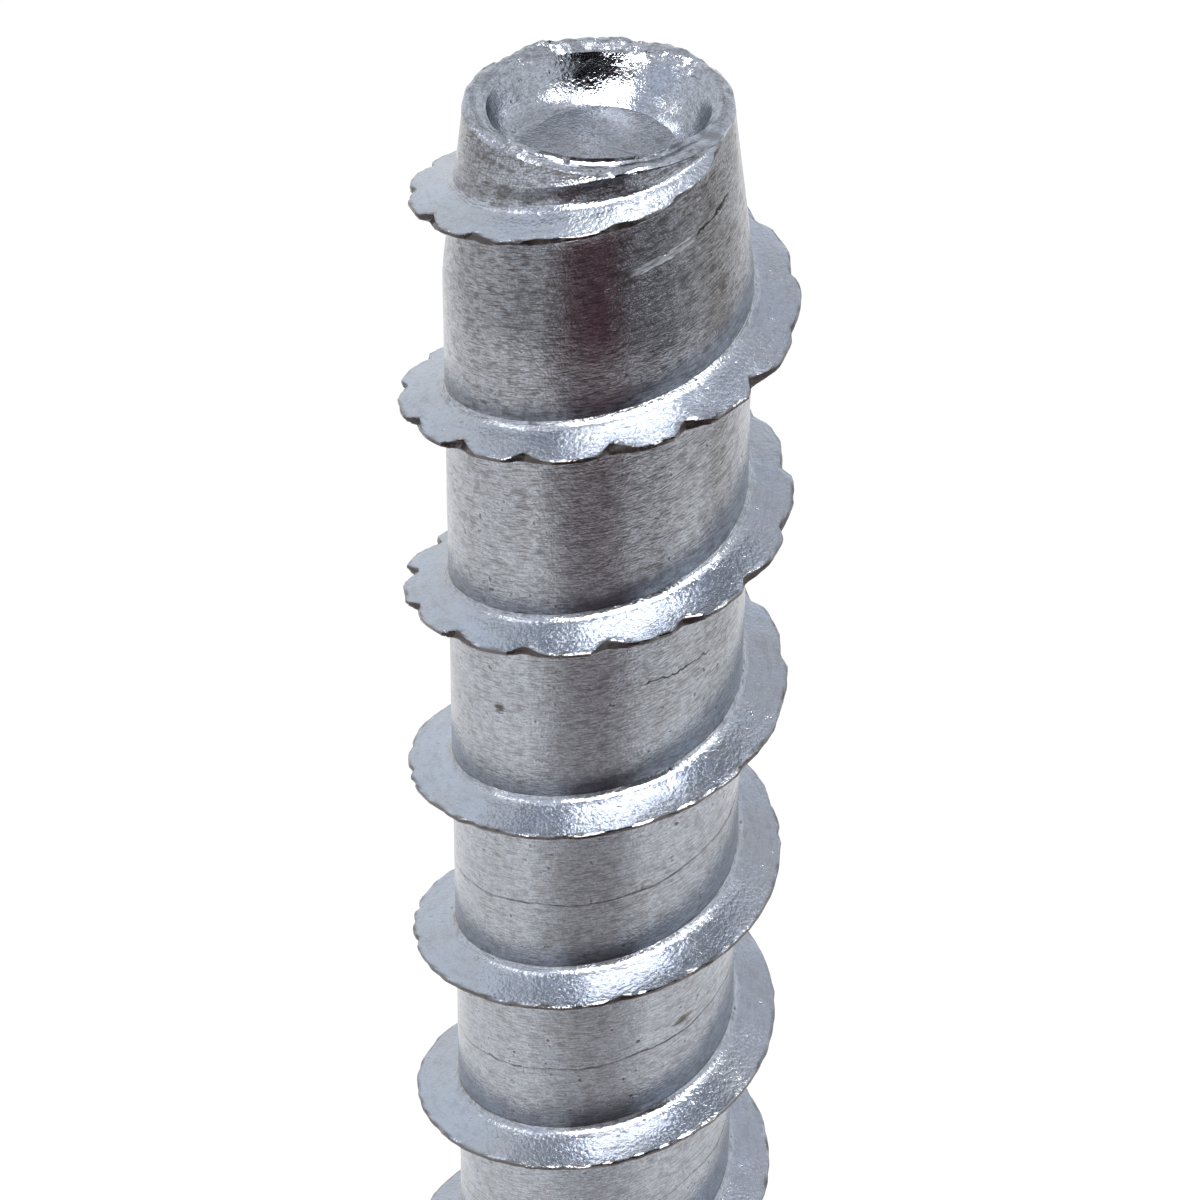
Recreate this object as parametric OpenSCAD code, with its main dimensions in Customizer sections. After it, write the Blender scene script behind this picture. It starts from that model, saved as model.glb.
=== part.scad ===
// Screw anchor for a drilled hole in concrete or masonry: a forged hexagon head with a flange,
// a plain shank, and a coarse rolled thread whose first turns are notched to cut their way in.
// It stands on its head: Z = 0 is the end face of the hexagon, and the hollow tip points up.

/* [Head] */
// Width of the hexagon across its flats
hex_flats = 17; // [14:0.5:20]
// Height of the whole head, from the hexagon's end face to the flange's bearing face
head_height = 11; // [9:0.5:14]
// Diameter of the flange
flange_d = 24; // [23:0.5:30]
// Thickness of the flange at its edge
flange_edge = 1.6; // [1.2:0.1:2.4]
// Angle between the flange's sloped side and its bearing face
flange_slope = 24; // [15:1:32]
// Rounding of the flange's edge
flange_round = 0.5; // [0.2:0.1:0.6]
// Angle of the chamfer on the hexagon's end
hex_chamfer_angle = 30; // [20:1:40]
// Diameter of the flat left inside that chamfer
hex_end_d = 16; // [12:0.5:16.5]
// Radius of the fillet between the bearing face and the shank
head_fillet = 1.9; // [1.6:0.1:2.4]

/* [Shank] */
// Diameter of the plain shank under the head
shank_d = 11.5; // [10.8:0.1:12]
// Length of the plain shank, from the bearing face to the threaded part
shank_length = 22; // [6:1:80]
// Diameter of the core between the thread's turns
core_d = 11.1; // [10:0.1:11.6]
// Length of the cone between the plain shank and the core
shank_cone = 1.5; // [1:0.1:3]

/* [Tip] */
// Diameter of the tip, outside its lip
tip_d = 9.5; // [8.6:0.1:10]
// Length over which the core narrows to the tip
tip_taper = 6.8; // [5:0.1:9]
// Thickness of the rounded lip around the hollow end
lip_w = 0.7; // [0.4:0.05:1]
// Depth of the hollow end
cup_depth = 1.9; // [1:0.1:2.5]
// Diameter of the hollow end's flat floor
cup_floor_d = 6; // [3:0.1:6.4]

/* [Thread] */
// Diameter over the thread's crest
thread_d = 14.6; // [13.4:0.1:15.2]
// Rise of the thread in one turn
pitch = 8.4; // [6:0.1:10]
// Length of the threaded part, to the tip
thread_length = 78; // [50:1:110]
// Width of the crest
crest_w = 0.3; // [0.2:0.05:0.6]
// Angle of each side of the thread from a level plane
flank_angle = 14; // [8:1:20]
// Height of the slope that blends each side into the core
root_blend = 0.4; // [0.2:0.05:0.6]
// Distance from the tip at which the thread's middle rises out of the core
thread_start = 0.4; // [0.3:0.05:1]
// Share of the thread's height that its steep lead-in reaches
lead_in_share = 0.65; // [0.4:0.05:0.8]
// Angle over which the thread reaches that height
lead_in_angle = 36; // [30:1:90]
// Angle over which it then reaches its full height
full_height_angle = 320; // [200:10:400]
// Angle over which the thread fades out towards the head
run_out_angle = 200; // [90:10:300]

/* [Cutting teeth] */
// Number of notches in one turn
teeth = 15; // [10:1:24]
// Number of turns from the tip that are notched
toothed_turns = 3; // [1:0.1:5]
// Angle over which the last notches fade out
tooth_fade_angle = 260; // [60:10:360]
// Depth of the notches at the thread's upper edge
tooth_depth = 0.5; // [0.2:0.05:0.8]
// Share of that depth at the thread's lower edge
tooth_lower_share = 0.4; // [0:0.05:1]

/* [Hidden] */
$fn = 96;

hex_r = hex_flats / 2 / cos(30);
flange_r = flange_d / 2;
shank_r = shank_d / 2;
core_r = core_d / 2;
tip_r = tip_d / 2;
lip_r = lip_w / 2;
cup_r = tip_r - lip_w;
cup_floor_r = cup_floor_d / 2;
crest_r = thread_d / 2;
total = head_height + shank_length + thread_length;
core_start = total - thread_length;
taper_start = total - tip_taper;

// The flange's cone starts this far inside the hexagon's flats, so that the two meet in one clean line.
cone_inset = 0.5;
flange_cone_r = hex_flats / 2 - cone_inset;
flange_cone_rise = (flange_r - flange_cone_r) * tan(flange_slope);

// How far the thread's foot is sunk in the core, and how much wider the blend makes that foot.
bury = 0.35;
blend_spread = 1.1;
foot_run = blend_spread * (root_blend + bury);
// How far the crest lies inside the core at both ends of the thread, and the least height of its sides.
crest_sink = bury / 2;
least_side = 0.02;
thread_height = crest_r - core_r;
// Polar angle at which the thread begins, and the angle turned from there to its other end.
start_angle = -33;
thread_turn = 360 * (thread_length - thread_start) / pitch;
// Share of a notch's depth at each ring of one tooth: a gentle slope in, then a steep face out.
notch_form = [0.4, 1, 0, 0];
rings_per_tooth = len(notch_form);
tooth_step = 360 / teeth / rings_per_tooth;
smooth_step = 10;
toothed_rings = round(360 * toothed_turns / tooth_step);
toothed_end = toothed_rings * tooth_step;
smooth_rings = ceil((thread_turn - toothed_end) / smooth_step);
// The notches are not all alike: each has its own share of the full depth.
least_share = 0.55;
notch_seed = 7;
notch_shares = rands(least_share, 1, ceil(toothed_rings / rings_per_tooth), notch_seed);
// Straight steps in each rounded edge and in each longer curve of the turned outline.
edge_steps = 4;
curve_steps = 6;

// Points of an arc of an ellipse in the plane of the turned outline.
function arc(centre, radii, from, to, steps) =
    [for (i = [0:steps]) let (a = from + (to - from) * i / steps)
        [centre[0] + radii[0] * cos(a), centre[1] + radii[1] * sin(a)]];

// Radius of the core at a height, which narrows in the last stretch before the tip.
function core_radius(z) =
    z <= taper_start ? core_r : core_r - (core_r - tip_r) * min(1, (z - taper_start) / (tip_taper - lip_r));

// Height of the crest above the core after turning by an angle from the thread's start.
function full_crest_height(turned) =
    -crest_sink + (thread_height + crest_sink) * lookup(turned,
        [[0, 0], [lead_in_angle, lead_in_share], [full_height_angle, 1],
         [thread_turn - run_out_angle, 1], [thread_turn, 0]]);

// Depth of the notch at one ring of the thread.
function notch(ring, turned) =
    ring < toothed_rings
        ? tooth_depth * notch_form[ring % rings_per_tooth] * notch_shares[floor(ring / rings_per_tooth)]
            * min(1, (toothed_end - turned) / tooth_fade_angle)
        : 0;

// Outline of the thread at one ring, as [radius, height] points, from its foot up one side and down again.
function thread_section(ring, turned) =
    let (
        z = total - thread_start - pitch * turned / 360,
        foot_r = core_radius(z),
        full = full_crest_height(turned),
        cut = min(notch(ring, turned), max(0, full) / 2),
        lower = full - cut * tooth_lower_share,
        upper = full - cut,
        lower_half = crest_w / 2 + (full - lower) * tan(flank_angle),
        upper_half = crest_w / 2 + (full - upper) * tan(flank_angle),
        blend = min(root_blend, max(0, full) / 3),
        blend_half = crest_w / 2 + max(0, full - blend) * tan(flank_angle),
        foot_half = blend_half + foot_run * blend / root_blend
    )
    [[foot_r - bury, z - foot_half], [foot_r + min(blend, lower - least_side), z - blend_half],
     [foot_r + lower, z - lower_half], [foot_r + upper, z + upper_half],
     [foot_r + min(blend, upper - least_side), z + blend_half], [foot_r - bury, z + foot_half]];

// The hexagon, with the corners of its end face cut by a cone.
module hexagon() {
    chamfer_rise = (hex_r - hex_end_d / 2) * tan(hex_chamfer_angle);
    intersection() {
        cylinder(r = hex_r, h = head_height - flange_edge, $fn = 6);
        rotate_extrude()
            polygon([[0, 0], [hex_end_d / 2, 0], [hex_r, chamfer_rise],
                [hex_r, head_height], [0, head_height]]);
    }
}

// Flange, shank and core, turned as one outline, up to the lip and the hollow end.
module turned_body() {
    rotate_extrude()
        polygon(concat(
            [[0, head_height - flange_edge - flange_cone_rise],
             [flange_cone_r, head_height - flange_edge - flange_cone_rise]],
            arc([flange_r - flange_round, head_height - flange_edge + flange_round],
                [flange_round, flange_round], flange_slope - 90, 0, edge_steps),
            arc([flange_r - flange_round, head_height - flange_round],
                [flange_round, flange_round], 0, 90, edge_steps),
            arc([shank_r + head_fillet, head_height + head_fillet],
                [head_fillet, head_fillet], 270, 180, curve_steps),
            [[shank_r, core_start - shank_cone], [core_r, core_start], [core_r, taper_start]],
            arc([tip_r - lip_r, total - lip_r], [lip_r, lip_r], 0, 180, curve_steps),
            arc([cup_floor_r, total - lip_r], [cup_r - cup_floor_r, lip_r - cup_depth], 0, 90, curve_steps),
            [[0, total - cup_depth]]));
}

// The thread, swept round the core as one closed skin from ring to ring.
module thread() {
    turned = concat([for (i = [0:toothed_rings]) i * tooth_step],
        [for (i = [1:smooth_rings]) toothed_end + (thread_turn - toothed_end) * i / smooth_rings]);
    sections = [for (i = [0:len(turned) - 1]) thread_section(i, turned[i])];
    sides = len(sections[0]);
    last = len(turned) - 1;
    points = [for (i = [0:last], p = sections[i]) let (a = start_angle - turned[i])
        [p[0] * cos(a), p[0] * sin(a), p[1]]];
    walls = [for (i = [0:last - 1], j = [0:sides - 1]) let (k = (j + 1) % sides)
        [(i + 1) * sides + j, (i + 1) * sides + k, i * sides + k, i * sides + j]];
    first_end = [for (j = [0:sides - 1]) j];
    last_end = [for (j = [sides - 1:-1:0]) last * sides + j];
    polyhedron(points, concat(walls, [first_end, last_end]), convexity = 12);
}

module screw_anchor() {
    color("silver") union() {
        turned_body();
        hexagon();
        thread();
    }
}

screw_anchor();
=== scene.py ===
# %% [markdown]
# # A screw anchor standing on its head
# A screw anchor is a thick steel screw that cuts its own thread into a hole drilled in concrete. This
# lesson dresses the plain solid of one: a rolled thread with cutting teeth, a hollow tip with a worn lip,
# and a zinc finish. The solid in the frame gives the place and the outer size, and stays as it is.

import math
import random

import bmesh
import bpy
from mathutils import Matrix, Vector, noise


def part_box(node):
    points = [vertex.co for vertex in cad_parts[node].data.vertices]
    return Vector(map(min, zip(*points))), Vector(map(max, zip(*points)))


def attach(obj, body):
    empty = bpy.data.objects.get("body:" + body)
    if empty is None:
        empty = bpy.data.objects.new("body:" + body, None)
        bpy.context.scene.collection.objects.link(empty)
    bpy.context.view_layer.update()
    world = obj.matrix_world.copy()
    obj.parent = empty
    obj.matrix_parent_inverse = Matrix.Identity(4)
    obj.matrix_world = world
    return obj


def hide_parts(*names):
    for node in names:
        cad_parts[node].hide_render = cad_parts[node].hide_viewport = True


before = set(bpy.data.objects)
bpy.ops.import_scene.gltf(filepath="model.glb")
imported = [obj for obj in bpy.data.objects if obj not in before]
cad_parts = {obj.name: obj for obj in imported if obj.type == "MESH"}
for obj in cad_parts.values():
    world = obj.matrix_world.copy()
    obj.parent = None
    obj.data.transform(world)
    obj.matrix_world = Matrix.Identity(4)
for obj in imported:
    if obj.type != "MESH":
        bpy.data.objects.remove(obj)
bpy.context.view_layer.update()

# %% [markdown]
# The mesh is built in millimetres and scaled to metres at the end, because a drawing of a screw is in
# millimetres too. Three heights come from the frame: the tip, the floor under the head, and the flange's
# edge. Everything else is measured down from the tip or up from the floor.

# %% main sizes, in millimetres
MM = 0.001
node_low, node_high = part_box("screw_anchor")
TIP_Z = node_high.z / MM
FLANGE_R = (node_high.x - node_low.x) / 2 / MM

PITCH = 8.4
CREST_R = 7.25
CORE_R = 5.55
TIP_R = 4.75
THREAD_H = CREST_R - CORE_R
# The core narrows over this length, up to a height just under the lip.
TAPER_LENGTH = 6.8
TAPER_TOP = TIP_Z - 0.35
# Angles round the screw are counted from the front, positive to the right. The thread's middle leaves
# the core at this angle and depth, and every place along it is the angle turned from there.
START_TURN = 57
START_DEPTH = 0.4


def thread_z(turned):
    """Height of the thread's middle after turning by an angle from its start."""
    return TIP_Z - START_DEPTH - PITCH * turned / 360


def ramp(value, points):
    """Straight-line lookup in a short list of (position, result) pairs."""
    if value <= points[0][0]:
        return points[0][1]
    for (a, at_a), (b, at_b) in zip(points, points[1:]):
        if value <= b:
            return at_a + (at_b - at_a) * (value - a) / (b - a)
    return points[-1][1]


print("tip at", round(TIP_Z, 2), "flange radius", round(FLANGE_R, 2))

# %% [markdown]
# ## The rolled skin
# Thread and core are one surface on the real screw: two dies squeeze a plain rod, and the metal flows up
# into a thin blade. So one line, one pitch long, is drawn through the core and over the blade, and spun
# round the axis while it climbs. Each turn's lower edge lands on the upper edge of the turn below, and
# merging the doubles closes the skin. A screw modifier could do this too, but the bmesh operator lets the
# script remember where each point lies on the line, and the later steps need that.

# %% one pitch of the outline
CREST_HALF = 0.09
EDGE_ROUND = 0.04
CREST_CROWN = 0.01
FLANK_SLOPE = math.tan(math.radians(14))
ROOT_BLEND = 0.3
ROOT_SPREAD = 0.17
FLANK_RISES = [share * THREAD_H for share in (0.97, 0.9, 0.79, 0.66, 0.5, 0.32, 0.17, 0.09, 0.035, 0)]
# Rows on the core over and under the blade; over it they are close, to draw the ledge under the lip.
CORE_ABOVE = [1.05, 1.37, 1.45, 1.9, 2.5, 3.1]
CORE_BELOW = [1.2, 1.8, 2.4, 3.1, 3.8, 4.5, PITCH - 3.1]


def blade_half(rise):
    """Half the blade's thickness at a rise above the core, with the root's hollow curve."""
    root = max(0, 1 - rise / ROOT_BLEND)
    return CREST_HALF + (THREAD_H - rise) * FLANK_SLOPE + ROOT_SPREAD * root ** 2


flank = [(CREST_HALF - EDGE_ROUND, THREAD_H)] + [(blade_half(rise), rise) for rise in FLANK_RISES]
upper = flank + [(across, 0) for across in CORE_ABOVE]
lower = [(-across, rise) for across, rise in flank] + [(-across, 0) for across in CORE_BELOW]
outline = lower[::-1] + [(0, THREAD_H + CREST_CROWN)] + upper

# Running length along the outline, which the finish uses to lay its rolling marks.
run = [0.0]
for (w0, r0), (w1, r1) in zip(outline, outline[1:]):
    run.append(run[-1] + math.hypot(w1 - w0, r1 - r0))
ALONG_OUTLINE = [(across, length) for (across, rise), length in zip(outline, run)]
print("outline has", len(outline), "points and is", round(run[-1], 2), "mm long")

# %% spin it into a skin
STEPS_PER_TURN = 216
STEP = 360 / STEPS_PER_TURN
# The lowest turn starts this far along the thread, where a corner of the head's hexagon is.
FIRST_TURNED = 3627
TURNS = 11
MERGE = 0.02

bm = bmesh.new()
across_layer = bm.verts.layers.float.new("across")
rise_layer = bm.verts.layers.float.new("rise")


def on_screw(turn, radius, height):
    """Point at an angle from the front, a radius and a height."""
    angle = math.radians(turn - 90)
    return Vector((radius * math.cos(angle), radius * math.sin(angle), height))


line = []
for across, rise in outline:
    height = thread_z(FIRST_TURNED) + across
    vert = bm.verts.new(on_screw(START_TURN - FIRST_TURNED, CORE_R + rise, height))
    vert[across_layer] = across
    vert[rise_layer] = rise
    line.append(vert)
edges = [bm.edges.new(pair) for pair in zip(line, line[1:])]
bmesh.ops.spin(bm, geom=line + edges, cent=(0, 0, 0), axis=(0, 0, 1), dvec=(0, 0, PITCH / STEPS_PER_TURN),
               angle=math.radians(360), steps=STEPS_PER_TURN, use_merge=False)
one_turn = bm.verts[:] + bm.edges[:] + bm.faces[:]
for copy in range(1, TURNS):
    made = bmesh.ops.duplicate(bm, geom=one_turn)["geom"]
    points = [v for v in made if isinstance(v, bmesh.types.BMVert)]
    bmesh.ops.translate(bm, vec=(0, 0, PITCH * copy), verts=points)
bmesh.ops.remove_doubles(bm, verts=bm.verts, dist=MERGE)
print("skin:", len(bm.verts), "points,", len(bm.faces), "faces")

# %% [markdown]
# ## Teeth, lead-in and run-out
# The first turns are notched like a saw, so that they cut concrete: every notch drops gently, then
# steps up again. Further down the crest is only ragged. Cutting each notch with a boolean would be slow
# and leave slivers, so the points above a notch's plane are lowered onto it. The same pass gives the
# blade its lead-in at the tip, its run-out near the head, and the small waves that rolling leaves.

# %% how high the blade stands, and where it is cut
TOOTH_SPACING = 24.1
FIRST_TOOTH = 4.2
TOOTHED_END = 1030
TOOTH_FADE = 40
TOOTH_GENTLE = 10.0
TOOTH_STEEP = 4.2
TOOTH_DEPTH = 0.52
# No two teeth are alike: shift of their place, share of their depth, and share of their gentle side.
TOOTH_SHIFT, TOOTH_SHARE, GENTLE_SHARE = (-1.2, 1.2), (0.55, 1.2), (0.8, 1.1)
# On the lead-in the notches are only shallow.
TOOTH_LEAD = [(30, 0.3), (105, 0.6), (330, 0.75), (420, 1)]
LOWER_SHARE = 0.85
RUN_OUT_START = 3126
RUN_OUT_END = 3326
BLADE_GROWTH = [(-8, 0), (3, 0.17), (20, 0.38), (37, 0.57), (50, 0.67), (70, 0.76), (92, 0.89),
                (140, 0.9), (220, 0.95), (320, 1), (RUN_OUT_START, 1), (RUN_OUT_END, 0)]

random.seed(11)
teeth = []
place = FIRST_TOOTH
while place < TOOTHED_END + TOOTH_FADE:
    fade = min(1, (TOOTHED_END + TOOTH_FADE - place) / TOOTH_FADE) * ramp(place, TOOTH_LEAD)
    teeth.append((place + random.uniform(*TOOTH_SHIFT), TOOTH_DEPTH * fade * random.uniform(*TOOTH_SHARE),
                  TOOTH_GENTLE * random.uniform(*GENTLE_SHARE), TOOTH_STEEP))
    place += TOOTH_SPACING
# Chips knocked out of the plain crest below the teeth: place, depth and half width.
chips = [(1085, 0.16, 5), (1116, 0.1, 4), (1177, 0.1, 4), (1211, 0.16, 2.5), (1219, 0.22, 4),
         (1234, 0.18, 3), (1372, 0.14, 5), (1392, 0.1, 4), (1404, 0.1, 3), (1462, 0.09, 3), (1489, 0.2, 5),
         (1538, 0.12, 5), (1577, 0.2, 4), (1588, 0.14, 3), (1596, 0.18, 3), (1919, 0.1, 10)]
# Some more at random, as far as the run-out: the gap to the next one, its depth and half width.
CHIP_GAP, CHIP_DEPTH, CHIP_HALF = (50, 160), (0.03, 0.1), (2, 6)
while place < RUN_OUT_START:
    place += random.uniform(*CHIP_GAP)
    chips.append((place, random.uniform(*CHIP_DEPTH), random.uniform(*CHIP_HALF)))
teeth += [(place, depth, half, half) for place, depth, half in chips]
teeth.sort()
# The notches are sorted into cells of this many degrees, so that a point only asks its neighbours.
CELL = 60
by_cell = {}
for tooth in teeth:
    by_cell.setdefault(int(tooth[0] // CELL), []).append(tooth)


def notch_depth(turned):
    """Depth cut from the crest at a place along the thread."""
    cell = int(turned // CELL)
    near = [tooth for c in (cell - 1, cell, cell + 1) for tooth in by_cell.get(c, [])]
    depth = 0
    for place, deep, gentle, steep in near:
        past = turned - place
        share = 1 + past / gentle if past < 0 else 1 - past / steep
        depth = max(depth, deep * share)
    return depth


print(len(teeth), "notches and chips")

# %% move the points of the skin
# The crest is ragged everywhere, and more so in some stretches.
RAGGED = 0.05
RAGGED_STRETCH = 0.16
WAVE = 0.05
DENT = 0.02
# The crest's zone and its very top, as shares of the blade's height; a notch takes no more than this share.
CREST_ZONE, CREST_TOP, NOTCH_MOST = 0.9, 0.985, 0.6
# Where this much was cut away, the steel is bare.
BARE_CUT = 0.12
SHANK_R = 5.75
SHANK_TOP = 31.5
CONE_TOP = 33
# Under the lip's front the wall leans in, first a little up to a ledge and then more.
LEAN_OVER = [(0.7, 0), (1.05, 0.07), (1.37, -0.05), (1.45, 0.02), (2.4, 0.7)]
LEAN_ALONG = [(25, 0), (40, 0.8), (60, 1), (85, 0.6), (105, 0.3), (130, 0)]
worn_layer = bm.verts.layers.float.new("crest_wear")
cut_layer = bm.verts.layers.float.new("tooth_cut")
rolled_layer = bm.verts.layers.float.new("rolled")


def core_radius(z):
    """Radius of the core, with the tip's taper and the step to the plain shank."""
    return ramp(z, [(SHANK_TOP, SHANK_R), (CONE_TOP, CORE_R), (TIP_Z - TAPER_LENGTH, CORE_R),
                    (TAPER_TOP, TIP_R)])


for vert in bm.verts:
    across, rise = vert[across_layer], vert[rise_layer]
    vert[rolled_layer] = 1
    turn = math.degrees(math.atan2(vert.co.y, vert.co.x)) + 90
    turned = (TIP_Z - START_DEPTH - (vert.co.z - across)) * 360 / PITCH
    growth = ramp(turned, BLADE_GROWTH)
    height = THREAD_H * growth
    z = vert.co.z
    wave = WAVE * (noise.noise((turned / 34, 0.5, 3)) + 0.5 * noise.noise((turned / 9, across * 0.3, 8)))
    if rise > 0:
        # A low blade is thinner too, so its foot is drawn in towards its middle.
        thin = min(1, 0.25 + growth)
        z += across * (thin - 1) + wave
    up = height * rise / THREAD_H
    if rise > 0.1 * THREAD_H and height > 0:
        deep = min(notch_depth(turned), NOTCH_MOST * height)
        upward = (across + CREST_HALF) / (2 * CREST_HALF)
        plane = height - deep * max(0, LOWER_SHARE + (1 - LOWER_SHARE) * upward)
        if up > plane:
            vert[cut_layer] = min(1, (up - plane) / BARE_CUT)
            up = plane
        near = max(0, (rise / THREAD_H - CREST_ZONE) / (1 - CREST_ZONE))
        stretch = max(0, noise.noise((turned / 55, 6, 4))) * RAGGED_STRETCH
        ragged = RAGGED * (noise.noise((turned / 4, across * 2, 1)) + noise.noise((turned / 9, 4, 2)))
        up += near * (ragged + stretch * noise.noise((turned / 6, 1, 5)))
        if rise > CREST_TOP * THREAD_H:
            vert[worn_layer] = min(1, 1.5 * growth)
        elif near > 0.6:
            z += (0.03 + 0.12 * deep) * noise.noise((turned / 3, across * 3, 7))
            vert[worn_layer] = min(1, max(0, 0.3 + 1.6 * noise.noise((turned / 5, across, 9))))
    dent = DENT * noise.noise(vert.co * 0.6)
    lean = ramp(across, LEAN_OVER) * ramp(turned, LEAN_ALONG) if rise == 0 else 0
    vert.co = on_screw(turn, core_radius(z) + up + dent - lean, z)
print("blade shaped; highest radius", round(max(v.co.xy.length for v in bm.verts), 3))

# %% [markdown]
# The skin is cut level at both ends. Where the cut crosses a row of the skin it leaves an extra point, and
# these are welded to the nearest column, so that both ends are plain rings with one point per step.

# %% trim both ends to clean rings
LIP_TRIM = TIP_Z - 0.3
SHANK_TRIM = 30.5
# How close a point lies to the cut, and to its column as a share of a step.
ON_CUT, ON_COLUMN = 1e-3, 0.02


def cut_ring(z, side):
    """Cuts the skin at a height, keeps the other side, and gives the edges of the ring."""
    bmesh.ops.bisect_plane(bm, geom=bm.verts[:] + bm.edges[:] + bm.faces[:], plane_co=(0, 0, z),
                           plane_no=(0, 0, side), clear_outer=True, dist=1e-4)
    on_cut = [v for v in bm.verts if abs(v.co.z - z) < ON_CUT and v.is_boundary]
    columns = {}
    extra = []
    for vert in on_cut:
        place = math.degrees(math.atan2(vert.co.y, vert.co.x)) / STEP
        near = round(place) % STEPS_PER_TURN
        if abs(place - round(place)) < ON_COLUMN and near not in columns:
            columns[near] = vert
        else:
            extra.append((vert, near))
    bmesh.ops.weld_verts(bm, targetmap={vert: columns[near] for vert, near in extra})
    ring = [e for e in bm.edges if e.is_boundary and all(abs(v.co.z - z) < ON_CUT for v in e.verts)]
    print("ring at", round(z, 2), "has", len(ring), "edges")
    return ring


tip_ring = cut_ring(LIP_TRIM, 1)
shank_ring = cut_ring(SHANK_TRIM, -1)

# %% [markdown]
# ## The hollow tip
# Rolling squeezes metal past the end of the rod, so the tip is a shallow cup with a rolled-over lip. The
# lip is round at the sides and lumpy at the back. At the front the thread pushed it up, so a ledge climbs
# the wall from left to right, with a groove and a thin burr inside it. The ring is extruded from step to
# step, and each step mixes the round outline with the front's own. A sculpted lip would look as good, but
# its steps couldn't be read in a script.

# %% extrude the lip and the cup
# Each step of the round lip is a share of the way from the skin's ring to the ridge, and a depth.
RIDGE_R = 3.97
ROUND_LIP = [(0.01, 0.2), (0.06, 0.15), (0.15, 0.1), (0.3, 0.06), (0.45, 0.04), (0.6, 0.05),
             (0.78, 0.1), (0.95, 0.2)]
# At the front a ledge climbs the wall from left to right; its depth under the tip, by the angle.
LEDGE_DEPTH = [(-5, 0.45), (0, 0.36), (17, 0.1), (40, 0.05), (54, 0.03), (68, 0.1)]
LEDGE_HANG = 0.1
# How much of the front's own form there is at an angle, and how much of the back's.
FRONT = [(-65, 0), (-35, 1), (45, 1), (80, 0)]
BACK = [(80, 0), (122, 1)]
# The cup's wall and floor as (radius, depth): a bowl at the sides, and a slope with a crease at the back.
CUP_SIDE = [(3.93, 0.24), (3.86, 0.4), (3.78, 0.58), (3.69, 0.78), (3.58, 0.98), (3.45, 1.17), (3.29, 1.35),
            (3.1, 1.51), (2.85, 1.63), (2.4, 1.72), (1.8, 1.75), (1.1, 1.76), (0.5, 1.76)]
CUP_BACK = [(3.84, 0.24), (3.71, 0.42), (3.58, 0.62), (3.44, 0.84), (3.28, 1.06), (3.1, 1.27), (2.88, 1.49),
            (2.68, 1.68), (2.62, 1.725), (2.4, 1.745), (1.8, 1.76), (1.1, 1.76), (0.5, 1.76)]
CUP_DEPTH = 1.76
# The cup leans: its wall is gentler on the right than on the left.
CUP_SKEW = [(0.2, 0), (1.5, 0.22), (1.76, 0)]
# How uneven the lip, the cup's wall and its floor are.
LIP_ROUGH, LIP_ROUGH_BACK, WALL_ROUGH, FLOOR_ROUGH = 0.035, 0.16, 0.035, 0.002
zone_layer = bm.faces.layers.int.new("zone")
ROLLED, TIP, HEAD = 0, 1, 2


def turn_of(co):
    """Angle of a point from the front, between -180 and 180 degrees, positive to the right."""
    return (math.degrees(math.atan2(co.y, co.x)) + 90 + 180) % 360 - 180


def extrude_ring(ring, zone, where):
    """Extrudes a ring, places each new point by its angle, and gives the new ring's edges."""
    made = bmesh.ops.extrude_edge_only(bm, edges=ring)["geom"]
    new = {v for v in made if isinstance(v, bmesh.types.BMVert)}
    for vert in new:
        vert.co = on_screw(turn_of(vert.co), *where(turn_of(vert.co)))
        vert[rolled_layer] = 0.5 if zone == TIP else 0
    for face in made:
        if isinstance(face, bmesh.types.BMFace):
            face[zone_layer] = zone
    return [e for e in made if isinstance(e, bmesh.types.BMEdge) and all(v in new for v in e.verts)]


def close_ring(ring, zone, height):
    """Closes a small ring to a pole."""
    faces = bmesh.ops.edgeloop_fill(bm, edges=ring)["faces"]
    poked = bmesh.ops.poke(bm, faces=faces)
    for face in poked["faces"]:
        face[zone_layer] = zone
    for vert in poked["verts"]:
        vert.co.z = height


def uneven(turn, radius, level):
    """Two small uneven numbers, one for the radius and one for the height, at a place on the tip."""
    spot = on_screw(turn, radius, level)
    wide = Vector((noise.noise(spot * 0.6), noise.noise(spot * 0.7 + Vector((7, 0, 0)))))
    fine = Vector((noise.noise(spot * 1.8 + Vector((0, 5, 0))),
                   noise.noise(spot * 2.0 + Vector((3, 0, 0)))))
    small = Vector((noise.noise(spot * 4.1), noise.noise(spot * 4.3 + Vector((0, 0, 9)))))
    return wide + 0.7 * fine + 0.35 * small


def front_lip(turn):
    """The lip's steps at the front: over the ledge's edge, through a groove, and over a burr."""
    start = TIP_Z - LIP_TRIM
    ledge = min(start, ramp(turn, LEDGE_DEPTH))
    hang = LEDGE_HANG * (1 - ledge / start)
    return [(0.5 * hang, min(start, ledge + 0.16)), (-hang, min(start, ledge + 0.05)), (0.04, ledge),
            (0.45, 0.5 * ledge + 0.07), (0.84, 0.1 * ledge + 0.18), (0.95, 0.14), (0.985, 0.0),
            (1.06, 0.08)]


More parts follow.
